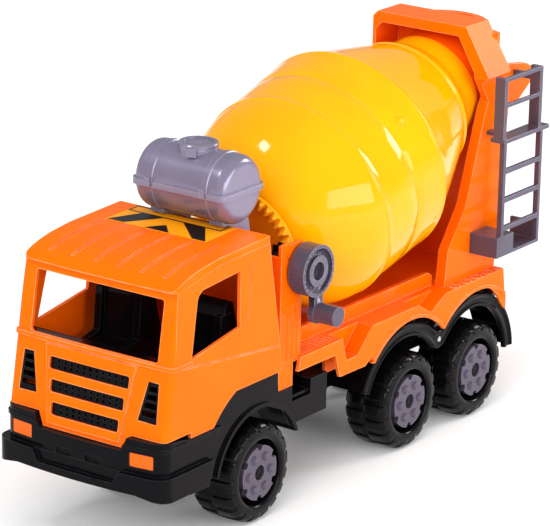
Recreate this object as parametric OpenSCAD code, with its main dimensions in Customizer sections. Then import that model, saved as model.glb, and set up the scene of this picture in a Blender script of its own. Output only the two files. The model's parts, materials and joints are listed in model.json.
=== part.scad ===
// Toy cement mixer truck: a ride-size plastic toy with a rolling chassis, an open
// cab, a geared drum turned by a side crank, and a rear frame with hopper and chute.
// +X is forward, +Y is the crank and ladder side, +Z is up, and the wheels stand on Z = 0.

/* [Wheels] */
// Outer diameter of a tyre
tyre_d = 89.2; // [84:0.2:92]
// Width of a tyre
tyre_w = 44; // [36:1:45]
// Distance from the middle plane to the outer face of a tyre
tyre_face_y = 78.5; // [76:0.5:80]
// Diameter of the grey hub disc
hub_d = 48; // [40:1:52]
// Diameter of the steel axles
axle_d = 6; // [5:0.5:7]
// Position of the front axle along X
front_axle_x = 150.5; // [149:0.5:152]
// Position of the middle axle along X
mid_axle_x = -77.8; // [-79:0.1:-77]
// Position of the rear axle along X
rear_axle_x = -187.2; // [-188:0.1:-186]

/* [Cab] */
// Width of the cab below its belt line
cab_w = 165; // [163:1:166]
// Width of the cab at its roof
roof_w = 156; // [154:1:158]
// Wall of the moulded shells
wall = 3; // [2.5:0.1:3.5]
// Backward lean of the windscreen and nose, degrees
nose_lean = 9; // [8:0.5:10]
// Height of the rear edge of the roof
roof_rear_z = 253.9; // [250:0.1:255]
// Height of the front edge of the roof
roof_front_z = 243.6; // [241:0.1:245]

/* [Drum] */
// Tilt of the drum axis, degrees above level towards the rear
drum_tilt = 15.76; // [15.5:0.01:16]
// Largest radius of the drum
drum_r = 100.8; // [98:0.1:101]
// Radius of the drum mouth
mouth_r = 51.3; // [50:0.1:52]
// Wall of the drum shells
drum_wall = 2.6; // [2.2:0.1:3]

/* [Gears] */
// Module of the drum's crown gear and its pinion
gear_module = 2.4; // [2.4:0.01:2.42]
// Teeth on the drum's crown gear
crown_teeth = 40; // [40:4:40]
// Teeth on the crank pinion
pinion_teeth = 12; // [12:12:12]
// Face width of the teeth
tooth_face = 7; // [6:0.5:7]

/* [Crank] */
// Distance from the middle plane to the outer face of the crank disc
crank_face_y = 90; // [88:0.5:92]
// Radius of the crank disc
crank_r = 22.8; // [20:0.1:23]
// Distance from the middle plane to the end of the crank knob
knob_end_y = 107.8; // [105:0.1:108]

/* [Rear frame] */
// Half width of the frame's shoulders
shoulder_y = 75.6; // [74:0.1:77]
// Height of the top front edge of the frame
frame_top_z = 363.8; // [360:0.1:365]

/* [Tank] */
// Radius of the tank
tank_r = 30; // [28:0.5:31]
// Half length of the tank
tank_half = 47.8; // [45:0.1:50]

/* [Ladder] */
// Distance from the middle plane to the outer face of the ladder
ladder_y = 96; // [94:0.5:97]

/* [Hidden] */
$fn = 64;
eps = 0.01;
run_gap = 0.08;
axle_z = tyre_d / 2;
axle_r = axle_d / 2;
tyre_r = tyre_d / 2;
hub_r = hub_d / 2;
tyre_back_y = tyre_face_y - tyre_w;
web_y = tyre_face_y - 17;
axle_end_y = web_y + 10;
rim_r = 29;
tyre_wall = 3.6;
lug_count = 14;

// Cab: the front plane leans back about a point on the nose's bottom edge.
cab_half = cab_w / 2;
roof_half = roof_w / 2;
nose_x = 293.6;
nose_z = 100.6;
belt_z = 174;
cab_rear_x = 128.3;
cab_sill_z = 131.4;
belt_rear_x = 135.8;
roof_rear_x = 144.6;
rear_lean = 8.9;
plan_bow = 1;
plan_bow_y = 65;
plan_corner_r = 6;
screen_bottom_z = 175.4;
screen_top_z = 228.7;
slat_h = 10.8;
slat_pitch = 18.9;
slat_top = 60;
slat_half = 41.8;
deck_z = 132;
arch_gap_r = 57.6;
arch_lip_r = 70.5;

// Drum: distances along its axis are measured rearwards from drum_x, drum_z.
drum_x = 19.2;
drum_z = 230.6;
crank_x = 88.2;
pinion_pitch_r = gear_module * pinion_teeth / 2;
crown_pitch_r = gear_module * crown_teeth / 2;
crank_z = drum_z + (drum_x - crank_x) * tan(drum_tilt);
crank_s = (drum_x - crank_x) / cos(drum_tilt);
crown_s = crank_s + pinion_pitch_r;
tooth_add = 0.9 * gear_module;
tooth_ded = 1.2 * gear_module;
tooth_half = 0.42 * 3.14159 * gear_module / 2;
crown_back_s = crown_s + tooth_ded;
drum_front_s = crown_back_s + 3.5;
ring1_s = 22.4;
ring1_r = 98.7;
ring2_s = 108.7;
ring3_s = 203;
ring3_r = 63.4;
mouth_s = 240;
pin_r = 5;
pinion_y = crown_pitch_r - tooth_face / 2;

// Crank knob
knob_x = 83.3;
knob_z = 172.7;
knob_r = 8.9;
arm_back_y = 82.4;
arm_face_y = 88;

// Body
bed_half = 76;
screw_x = [143, 66, -46, -166];
screw_y = 18;
tower_front_x = 118;
tower_rear_x = 87.4;
tower_half = 72;
tower_top_z = 237.6;
hopper_r = 42;
chute_x = -256;
chute_half = 20;
chute_len = 56;
chute_slope = 40;
shelf_z = 176;
chute_rise = 40;
frame_front_x = -193.2;
frame_rear_x = -230.4;
tank_x = 140.4;
tank_z = 285.8;
bowl_steps = [for (i = [1 : 11]) drum_front_s + (ring1_s - drum_front_s) * (1 - cos(90 * i / 12))];
tank_profile = concat(
  [[0, -tank_half]], [for (a = [0 : 15 : 90]) [tank_r - 9 + 9 * sin(a), -tank_half + 9 - 9 * cos(a)]],
  [[tank_r, -31.5], [tank_r + 0.9, -31], [tank_r + 0.9, -26], [tank_r, -25.5],
   [tank_r, 25.5], [tank_r + 0.9, 26], [tank_r + 0.9, 31], [tank_r, 31.5]],
  [for (a = [90 : -15 : 0]) [tank_r - 9 + 9 * sin(a), tank_half - 9 + 9 * cos(a)]], [[0, tank_half]]);

// ---------------------------------------------------------------- helpers

// Extrudes an outline drawn in X and Z between two Y planes.
module along_y(y0, y1) {
  translate([0, y1, 0]) rotate([90, 0, 0]) linear_extrude(y1 - y0) children();
}

// Extrudes an outline drawn in Y and Z between two X planes.
module along_x(x0, x1) {
  translate([x0, 0, 0]) rotate([90, 0, 90]) linear_extrude(x1 - x0) children();
}

// A round bar along Y.
module y_bar(x, z, r, y0, y1, fn = 64) {
  translate([x, y1, z]) rotate([90, 0, 0]) cylinder(r = r, h = y1 - y0, $fn = fn);
}

// A block from its low corner to its high corner.
module block(low, high) {
  translate(low) cube(high - low);
}

// Draws its children at the drum's reference point, with local Z rearwards along the drum axis.
module on_drum_axis() {
  translate([drum_x, 0, drum_z]) rotate([0, drum_tilt - 90, 0]) children();
}

// Draws its children on the cab's front plane: local X points out of it and local Z up along it.
module on_nose() {
  translate([nose_x, 0, nose_z]) rotate([0, -nose_lean, 0]) children();
}

// Draws its children as they are and mirrored to the other side.
module both_sides() {
  children();
  mirror([0, 1, 0]) children();
}

// A rectangle with rounded corners, from its low corner to its high corner.
module round_rect(low, high, r) {
  difference() {
    translate(low) square(high - low);
    for (cx = [0, 1])
      for (cy = [0, 1])
        translate([cx == 0 ? low[0] : high[0], cy == 0 ? low[1] : high[1]])
          rotate(cx == 0 ? (cy == 0 ? 0 : -90) : (cy == 0 ? 90 : 180))
            difference() {
              translate([-eps, -eps]) square(r + eps);
              translate([r, r]) circle(r = r, $fn = 32);
            }
  }
}

// Points of an arc about a centre, from angle a0 to a1.
function arc(cx, cy, r, a0, a1, n = 8) =
  [for (i = [0 : n]) [cx + r * cos(a0 + (a1 - a0) * i / n), cy + r * sin(a0 + (a1 - a0) * i / n)]];

// ---------------------------------------------------------------- wheels

// One tyre about its own axis: Z runs from the inner face at 0 to the outer face at tyre_w.
module tyre_body() {
  web = tyre_w - 17;
  difference() {
    rotate_extrude($fn = 96) difference() {
      polygon([
        [axle_r + 0.02, 2.5], [rim_r - 4, 2.5], [rim_r + 1, 0.4], [tyre_r - 6.5, 0],
        [tyre_r - 3, 0.5], [tyre_r - 0.6, 3], [tyre_r, 6], [tyre_r, tyre_w - 11],
        [tyre_r - 0.8, tyre_w - 6.5], [tyre_r - 3.4, tyre_w - 2.6], [tyre_r - 7, tyre_w - 0.6],
        [rim_r + 4, tyre_w], [rim_r, tyre_w - 0.8], [rim_r - 3, web + 2], [rim_r - 5, web],
        [axle_r + 0.02, web]
      ]);
      // Sealed air space of the blow-moulded tyre.
      polygon([
        [9, 5.5], [rim_r - 4, 5.5], [rim_r + 2, 3.5], [tyre_r - 8, 3.5], [tyre_r - tyre_wall - 2, 6],
        [tyre_r - tyre_wall - 2, tyre_w - 8], [tyre_r - 9, tyre_w - tyre_wall],
        [rim_r + 5, tyre_w - tyre_wall], [rim_r + 0.5, tyre_w - 7], [rim_r - 4, web - 1],
        [rim_r - 6, web - 3], [9, web - 3]
      ]);
    }
    for (i = [0 : lug_count - 1])
      rotate([0, 0, i * 360 / lug_count])
        translate([tyre_r - 2.4, -2.4, tyre_w - 15]) cube([6, 4.8, 16]);
  }
}

// The grey disc with six nut bosses and six edge notches, on a tube that reaches the tyre web.
module hub_body() {
  face = tyre_w - 1;
  difference() {
    union() {
      translate([0, 0, face - 5]) cylinder(r = hub_r, h = 5);
      translate([0, 0, tyre_w - 17]) cylinder(r = 10.5, h = 14);
      for (a = [0 : 60 : 300])
        rotate(a) translate([15.3, 0, face - 1]) cylinder(r1 = 3.6, r2 = 2.2, h = 2, $fn = 32);
    }
    translate([0, 0, tyre_w - 18]) cylinder(r = axle_r + 0.02, h = 20);
    translate([0, 0, face - 6]) cylinder(r = 6.8, h = 10);
    for (a = [30 : 60 : 330])
      rotate(a) translate([hub_r - 0.5, 0, face - 6]) cylinder(r = 3.4, h = 8, $fn = 32);
  }
}

// Stands a wheel piece on an axle; side is 1 for the left wheel and -1 for the right one.
module at_wheel(axle_x, side) {
  translate([axle_x, side * tyre_back_y, axle_z]) rotate([-90 * side, 0, 0]) children();
}

module tyre(axle_x, side) {
  color([0.03, 0.03, 0.035]) at_wheel(axle_x, side) tyre_body();
}

module hub(axle_x, side) {
  color([0.60, 0.58, 0.64]) at_wheel(axle_x, side) hub_body();
}

module axle(axle_x) {
  color([0.75, 0.76, 0.78]) y_bar(axle_x, axle_z, axle_r, -axle_end_y, axle_end_y, 48);
}

// Push-on caps that hold the wheels on the axle ends.
module axle_caps(axle_x) {
  color([0.05, 0.05, 0.06])
    for (side = [-1, 1])
      at_wheel(axle_x, side) translate([0, 0, tyre_w - 6.9])
        difference() {
          rotate_extrude() polygon([[0, 0], [6.4, 0], [6.4, 2.5], [5.2, 4.2], [0, 4.8]]);
          translate([0, 0, -1]) cylinder(r = axle_r, h = 1 + axle_end_y - (tyre_face_y - 6.9), $fn = 48);
        }
}

// ---------------------------------------------------------------- chassis

// Two long rails under a flat top plate, cross members, and a pair of bearing ears per axle.
module chassis_frame() {
  rail_bottom = 64;
  rail_top = 95;
  color([0.04, 0.04, 0.05])
    difference() {
      union() {
        block([-232, -30, rail_top - 3], [262, 30, rail_top]);
        for (side = [-1, 1])
          block([-232, side == 1 ? 26.5 : -30, rail_bottom], [262, side == 1 ? 30 : -26.5, rail_top]);
        for (x = [-232, -132, -30, 84, 210, 258.5])
          block([x, -30, rail_bottom + 2], [x + 3.5, 30, rail_top]);
        for (axle_x = [front_axle_x, mid_axle_x, rear_axle_x])
          for (side = [-1, 1])
            along_y(side == 1 ? 24 : -30, side == 1 ? 30 : -24)
              polygon(concat([[axle_x - 15, rail_top - 1]],
                arc(axle_x, axle_z, 8, 200, 340, 10), [[axle_x + 15, rail_top - 1]]));
        block([200, -50, rail_top - 3], [262, 50, rail_top]);
        block([-180, -58, rail_top - 3], [-160, 58, rail_top]);
        block([-64, -58, rail_top - 3], [-40, 58, rail_top]);
        block([40, -43.8, rail_top - 3], [110, 43.8, rail_top]);
      }
      for (axle_x = [front_axle_x, mid_axle_x, rear_axle_x])
        y_bar(axle_x, axle_z, axle_r + run_gap, -31, 31, 48);
      for (x = screw_x)
        for (side = [-1, 1])
          translate([x, side * screw_y, rail_top - 4]) cylinder(r = 2.02, h = 5, $fn = 32);
    }
}

// Pan-head screws that join the body mouldings to the chassis from below.
module chassis_screws() {
  color([0.70, 0.71, 0.73])
    for (x = screw_x)
      for (side = [-1, 1])
        translate([x, side * screw_y, 88.5]) {
          cylinder(r = 2, h = 9.5, $fn = 32);
          difference() {
            cylinder(r = 4, h = 3.5, $fn = 32);
            translate([-3, -0.5, -1]) cube([6, 1, 2]);
            translate([-0.5, -3, -1]) cube([1, 6, 2]);
          }
        }
}

// ---------------------------------------------------------------- cab

// Distance that the bowed front sits behind the front plane at a given Y.
function bow(y) = plan_bow * (y / plan_bow_y) * (y / plan_bow_y);

// Half of the bowed front edge with its rounded corner, from the middle outwards.
function front_edge(half, out, r) = concat(
  [for (y = [0 : (half - r) / 5 : half - r - 1]) [out - bow(y), y]],
  [for (a = [0 : 15 : 90]) [out - bow(half - r) - r + r * cos(a), half - r + r * sin(a)]]);

// The plan outline of the cab, from the bowed front back to the given depth.
function plan_outline(half, out, r, back) =
  let (edge = front_edge(half, out, r), n = len(edge))
  concat(edge, [[-back, half], [-back, -half]], [for (i = [n - 1 : -1 : 1]) [edge[i][0], -edge[i][1]]]);

// The solid behind the leaning front, bounded by the plan outline.
module cab_prism(half, out, r) {
  on_nose() translate([0, 0, -40]) linear_extrude(250) polygon(plan_outline(half, out, r, 230));
}

// The solid between the cab's side walls, which lean inwards above the belt line.
module cab_gauge(inset) {
  b = cab_half - inset;
  t = roof_half - inset;
  along_x(60, 330) polygon([[b, 60], [b, belt_z], [t, roof_rear_z], [t, 270], [-t, 270],
    [-t, roof_rear_z], [-b, belt_z], [-b, 60]]);
}

// Side outline of the cab from the given floor upwards, shrunk inwards by the given amount.
module cab_side(inset, floor_z) {
  polygon([
    [cab_rear_x + 1.01 * inset + (floor_z - cab_sill_z) * tan(rear_lean), floor_z],
    [belt_rear_x + 1.01 * inset, belt_z + 3], [roof_rear_x + 1.01 * inset, roof_rear_z - inset],
    [215, roof_rear_z - 2.5 - inset], [240, roof_front_z + 4.8 - inset], [254, roof_front_z + 1.8 - inset],
    [263, roof_front_z - 1 - inset], [270, roof_front_z - 4 - inset], [276, roof_front_z - 8 - inset],
    [310, roof_front_z - 8 - inset], [310, floor_z]
  ]);
}

// Opening outline of a side window, drawn in X and Z.
module side_window() {
  polygon(concat([[188.7, 185.9], [185.7, 233.3]], arc(233.8, 218.2, 12, 78, 22, 5), [[255.5, 175.2]]));
}

module cab_shell() {
  color([1.0, 0.40, 0.02])
    difference() {
      union() {
        intersection() {
          along_y(-cab_half, cab_half) cab_side(0, 96);
          cab_prism(cab_half, 0, plan_corner_r);
          cab_gauge(0);
        }
        // The roof slab stands a little proud as a drip edge, and the visor stands out further.
        intersection() {
          along_y(-roof_half - 1.2, roof_half + 1.2)
            polygon([[roof_rear_x + 0.6, 247], [roof_rear_x + 0.6, roof_rear_z], [215, roof_rear_z - 2.5], [240, roof_front_z + 4.8],
              [254, roof_front_z + 1.8], [263, roof_front_z - 1], [270, roof_front_z - 4],
              [276, roof_front_z - 8], [300, roof_front_z - 8], [300, 233], [258, 236.5], [215, 245.2]]);
          cab_prism(roof_half + 1.2, 4, plan_corner_r);
        }
        // Raised panel round the grille.
        intersection() {
          on_nose() along_x(-8, 1.4)
            polygon([[-47, 70], [47, 70], [38, 4], [-38, 4]]);
          cab_prism(cab_half, 1.4, plan_corner_r);
        }
        // Belt ledge round the front and the front corners.
        intersection() {
          block([255, -90, 171], [300, 90, 174]);
          cab_prism(cab_half + 1.2, 1.2, plan_corner_r);
        }
      }
      // Cabin space.
      intersection() {
        along_y(-cab_half + wall, cab_half - wall) cab_side(wall, 90);
        cab_prism(cab_half - wall, -wall, plan_corner_r - wall);
        cab_gauge(wall);
      }
      // Windscreen.
      on_nose() along_x(-25, 12) round_rect([-66, 76], [67, 129], 3);
      // Side windows.
      along_y(-cab_half - 5, cab_half + 5) side_window();
      // Wheel arches and the lower edge over the bumper.
      along_y(-cab_half - 5, cab_half + 5)
        polygon(concat([[100, 80], [100, cab_sill_z]], arc(front_axle_x, axle_z, 96.7, 63.8, 40.5, 6),
          [[256, 107.4], [270, 110.3], [278, 80]]));
      both_sides() along_x(255, 310) polygon([[42.5, 80], [42.5, 100.6], [48.2, 112.2], [90, 112.2], [90, 80]]);
      along_x(255, 310) polygon([[-43, 80], [-43, 100.6], [43, 100.6], [43, 80]]);
      // Grille slats.
      for (i = [0 : 2])
        on_nose() along_x(-12, 6)
          round_rect([-slat_half + 3.1 * i, slat_top - slat_pitch * i - slat_h],
            [slat_half - 3.1 * i, slat_top - slat_pitch * i], 2.2);
      // Side vents.
      both_sides() on_nose() along_x(-25, 6) vent_outline(0);
      // Roof grooves.
      for (i = [-2.5 : 1 : 2.5])
        along_y(i * 24 - 1.3, i * 24 + 1.3)
          polygon([[190, roof_rear_z - 2.8], [215, roof_rear_z - 3.7], [240, roof_front_z + 3.6],
            [254, roof_front_z + 0.6], [263, roof_front_z - 2.2], [263, 262], [190, 262]]);
      // Door shut lines.
      difference() {
        both_sides() along_y(60, cab_half + 1)
          polygon(concat([[169.5, 237], [170.9, 237], [174.6, 200.3]], arc(188.8, 200.3, 14.2, 180, 255, 5),
            arc(188.8, 200.3, 15.6, 255, 180, 5)));
        cab_gauge(0.9);
      }
      // Belt crease along the doors.
      both_sides() along_y(cab_half - 0.8, cab_half + 0.5)
        polygon([[120, 152.7], [120, 154.1], [272.4, 171.6], [272.4, 170.2]]);
    }
}

// Outline of one side vent on the front plane, shrunk by the given amount.
module vent_outline(inset) {
  polygon([[53 + inset, 26 + inset], [60 + inset, 60 - inset], [70.6 - inset, 59.7 - inset],
    [72.2 - inset, 25.5 + inset]]);
}

// A tray that closes the cabin from below, with a post down to the chassis.
module cab_floor() {
  color([0.85, 0.10, 0.02]) difference() {
    union() {
      block([131, -76, 128.6], [262, 76, 131]);
      block([197, -79.4, 128.6], [262, 79.4, 131]);
      block([screw_x[0] - 7, -28, 95.1], [screw_x[0] + 7, 28, 128.7]);
    }
    for (side = [-1, 1])
      translate([screw_x[0], side * screw_y, 95]) cylinder(r = 2.02, h = 4, $fn = 32);
  }
}

// Two seats moulded with one base.
module seats() {
  color([0.03, 0.03, 0.035])
    for (y = [-42, 42])
      translate([0, y, 131.1]) difference() {
        union() {
          along_y(-24, 24) polygon(concat(
            [[160, 0], [212, 0], [214, 6]], arc(206, 10, 8, 0, 90, 5),
            [[192, 19], [190, 58]], arc(182.4, 66.6, 6, 0, 150, 6), [[160, 8]]));
          for (side = [-1, 1])
            along_y(side * 21 - 3.4, side * 21 + 3.4)
              polygon([[168, 4], [213, 4], [213, 20], [197, 24], [194, 62], [176, 62], [164, 10]]);
        }
        // Moulded hollow, open below.
        along_y(-17, 17) polygon([[165, -1], [205, -1], [205, 14], [187, 16], [184, 58], [176, 58]]);
      }
}

// Dashboard shelf below the windscreen, hollow from below.
module dashboard() {
  color([0.03, 0.03, 0.035]) difference() {
    intersection() {
      along_y(-78, 78) polygon([[238, 131.1], [271, 131.1], [271, 163.4], [292, 163.4], [282, 174.5],
        [262, 172], [244, 158]]);
      cab_prism(cab_half - wall - 0.3, -wall - 0.3, plan_corner_r - wall);
    }
    along_y(-75, 75) polygon([[241, 130], [268, 130], [268, 169], [263, 168.8], [247, 156]]);
  }
}

// Black mesh strips behind the three slats.
module grille_insert() {
  color([0.05, 0.05, 0.06]) difference() {
    intersection() {
      on_nose() along_x(-9, -0.2)
        union()
          for (i = [0 : 2])
            round_rect([-slat_half + 3.1 * i + 0.1, slat_top - slat_pitch * i - slat_h + 0.1],
              [slat_half - 3.1 * i - 0.1, slat_top - slat_pitch * i - 0.1], 2.2);
      cab_prism(cab_half, -1.2, plan_corner_r);
    }
    // Rows of cells sunk into each strip.
    on_nose()
      for (i = [0 : 2])
        for (row = [0 : 1])
          for (k = [0 : 10 - i])
            translate([-4, (k - (10 - i) / 2) * 6.6, slat_top - slat_pitch * i - 4.6 - 4.4 * row + 1.1])
              rotate([0, 90, 0]) cylinder(r = 1.7, h = 6, $fn = 6);
  }
  color([0.05, 0.05, 0.06]) intersection() {
    on_nose() block([-9, -36, 8], [-6, 36, 62]);
    cab_prism(cab_half - wall, -wall - 0.1, plan_corner_r);
  }
}

// Louvred corner vents, four cells each.
module side_vents() {
  color([0.05, 0.05, 0.06]) both_sides() difference() {
    intersection() {
      on_nose() along_x(-20, 2) vent_outline(0.1);
      cab_prism(cab_half, -0.6, plan_corner_r);
      cab_front_skin(5);
    }
    on_nose()
      for (i = [0 : 3])
        translate([-20, 50, 30.5 + 7 * i]) intersection() {
          cube([40, 30, 5]);
          translate([0, -50, -30.5 - 7 * i]) along_x(5, 20) vent_outline(1.6);
        }
  }
}

// The front skin of the cab, of the given depth behind the front plane.
module cab_front_skin(depth) {
  difference() {
    cab_prism(cab_half, 0, plan_corner_r);
    cab_prism(cab_half - depth, -depth, plan_corner_r - depth);
  }
}

// ---------------------------------------------------------------- bumper and fenders

// Plan outline of the bumper, grown outwards by out, with legs back to the wheel arches.
module bumper_plan(half, front, corner, back_x) {
  edge = [for (y = [0 : (half - corner) / 6 : half - corner - 1]) [front - 7 * (y / half) * (y / half), y]];
  last = front - 7 * (half - corner) / half * (half - corner) / half;
  turn = [for (a = [0 : 15 : 90]) [last - corner + corner * cos(a), half - corner + corner * sin(a)]];
  run = concat(edge, turn);
  n = len(run);
  polygon(concat(run, [[back_x, half], [back_x, -half]], [for (i = [n - 1 : -1 : 1]) [run[i][0], -run[i][1]]]));
}

module bumper() {
  color([0.04, 0.04, 0.05]) difference() {
    union() {
      // Upper band that carries the lamps.
      translate([0, 0, 80]) linear_extrude(32) bumper_plan(83.5, 300, 13, 214);
      translate([0, 0, 103.5]) linear_extrude(3) bumper_plan(84.5, 301, 13, 214);
      // Lower apron, standing out further.
      translate([0, 0, 61.5]) linear_extrude(21.5) bumper_plan(88.5, 306, 15, 219);
    }
    // Hollow behind, wider inside the apron.
    translate([0, 0, 50]) linear_extrude(70) bumper_plan(80, 296, 10, 180);
    translate([0, 0, 50]) linear_extrude(29) bumper_plan(85, 296, 12, 180);
    // Notch for the nose between the lamps.
    along_x(255, 310) polygon([[-43, 100.4], [-48.6, 112.1], [-48.6, 120], [48.6, 120], [48.6, 112.1], [43, 100.4]]);
    // Recess in the apron, open at the top.
    along_x(300.4, 312) polygon([[-45.5, 84], [-39.5, 72.8], [39.5, 72.8], [45.5, 84]]);
    // Two slots.
    for (side = [-1, 1])
      along_x(297.8, 310) round_rect([side * 15.4 - 8.6, 83.1], [side * 15.4 + 8.6, 88.8], 1.5);
    // Lamp pockets.
    both_sides() along_x(280, 310) round_rect([51.4, 88.4], [74, 100.4], 1);
    // Underside rises from the corners to the front.
    along_x(262, 310) polygon([[-95, 40], [-95, 61], [-62, 66.5], [62, 66.5], [95, 61], [95, 40]]);
    // Wheel arches.
    y_bar(front_axle_x, axle_z, 88, -95, 95);
    // Clear the nose moulding and the top line of the sides.
    along_y(-95, 95) polygon([[150, 107.2], [256, 107.2], [270, 109.9], [291, 111.9], [291, 120], [150, 120]]);
  }
  // Tie plate onto the chassis.
  color([0.04, 0.04, 0.05]) translate([0, 0, 77]) linear_extrude(3) bumper_plan(80.5, 296.5, 10, 262.1);
}

// Orange lamp lenses in the bumper.
module headlights() {
  color([1.0, 0.45, 0.05]) both_sides() difference() {
    intersection() {
      along_x(284, 304) round_rect([51.5, 88.5], [73.9, 100.3], 1);
      translate([0, 0, 80]) linear_extrude(32) bumper_plan(83.4, 299.2, 13, 180);
    }
    translate([0, 0, 80]) linear_extrude(32) bumper_plan(79.9, 295.9, 10, 180);
  }
}

// Fender round a front wheel with the equipment box behind it, for the left side.
module front_fender() {
  difference() {
    union() {
      // Face of the arch.
      along_y(69, 74) intersection() {
        polygon([[100, 66], [238, 56], [246, 104], [190, 128.2], [122.5, 128.2], [121, 107.2], [104, 107.2]]);
        difference() {
          circle_at(front_axle_x, axle_z, 95);
          circle_at(front_axle_x, axle_z, arch_gap_r);
        }
      }
      // Rolled lip of the arch.
      along_y(69, 76.5) intersection() {
        polygon([[94, 67], [219.5, 56], [219.5, 140], [94, 140]]);
        difference() {
          circle_at(front_axle_x, axle_z, arch_gap_r + 3.2);
          circle_at(front_axle_x, axle_z, arch_gap_r);
        }
      }
      // Inner wheel housing.
      along_y(40, 72) intersection() {
        polygon([[94, 67], [212, 60], [212, 140], [94, 140]]);
        difference() {
          circle_at(front_axle_x, axle_z, arch_gap_r + 3);
          circle_at(front_axle_x, axle_z, arch_gap_r);
        }
      }
      // Equipment box.
      along_y(44, 74) polygon([[104, 73.4], [49.2, 73.4], [49.2, 107.3], [73.2, 107.3], [73.2, 93.6],
        [100.8, 93.6], [100.8, 107.3], [121, 107.3], [121, 98]]);
    }
    // Hollow of the equipment box, open below.
    block([52.2, 47, 70], [70.2, 71, 104.3]);
    block([52.2, 47, 70], [100, 71, 90.6]);
  }
  // Bracket onto the chassis plate.
  block([50, 30, 95.1], [98, 70.9, 97.5]);
}

module circle_at(x, z, r) {
  translate([x, z]) circle(r = r, $fn = 96);
}

module front_fender_left() {
  color([0.04, 0.04, 0.05]) front_fender();
}

module front_fender_right() {
  color([0.04, 0.04, 0.05]) mirror([0, 1, 0]) front_fender();
}

// Double-arched fender over the two rear wheels, for the left side.
module rear_fender() {
  lip_r = 67;
  gap_r = 59;
  along_y(67.4, 71) fender_band(gap_r, lip_r + 2.6);
  along_y(32, 67.5) fender_band(lip_r, lip_r + 2.6);
  // Plate that closes the gap up to the deck's skirt.
  along_y(63, 67.45) intersection() {
    fender_band(lip_r + 1, 82);
    polygon([[-232, 97], [-12, 97], [-12, 128], [-87, 128], [-106, 117], [-115.5, 117], [-136, 128],
      [-232, 128]]);
  }
}

// The band between two concentric double arches.
module fender_band(inner_r, outer_r) {
  back = arches_path(inner_r);
  n = len(back);
  polygon(concat(arches_path(outer_r), [for (i = [n - 1 : -1 : 0]) back[i]]));
}

// Path over both wheels from the rear end to the front end, with a rounded dip between them.
function arches_path(r) =
  let (half = (mid_axle_x - rear_axle_x) / 2, dip = 14, top = sqrt((r + dip) * (r + dip) - half * half),
    lean = atan2(top, half), step = (180 - 2 * lean) / 8)
  concat(arc(rear_axle_x, axle_z, r, 175.5, lean, 24),
    arc(rear_axle_x + half, axle_z + top, dip, 180 + lean + step, 360 - lean - step, 6),
    arc(mid_axle_x, axle_z, r, 180 - lean, 20, 24));

// Posts that hang a fender from the deck.
module fender_posts() {
  for (x = [mid_axle_x, rear_axle_x])
    block([x - 6, 40, 112], [x + 6, 50, deck_z - 3.3]);
}

module rear_fender_left() {
  color([0.04, 0.04, 0.05]) {
    rear_fender();
    fender_posts();
  }
}

module rear_fender_right() {
  color([0.04, 0.04, 0.05]) mirror([0, 1, 0]) {
    rear_fender();
    fender_posts();
  }
}

// ---------------------------------------------------------------- bed and tower

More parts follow.
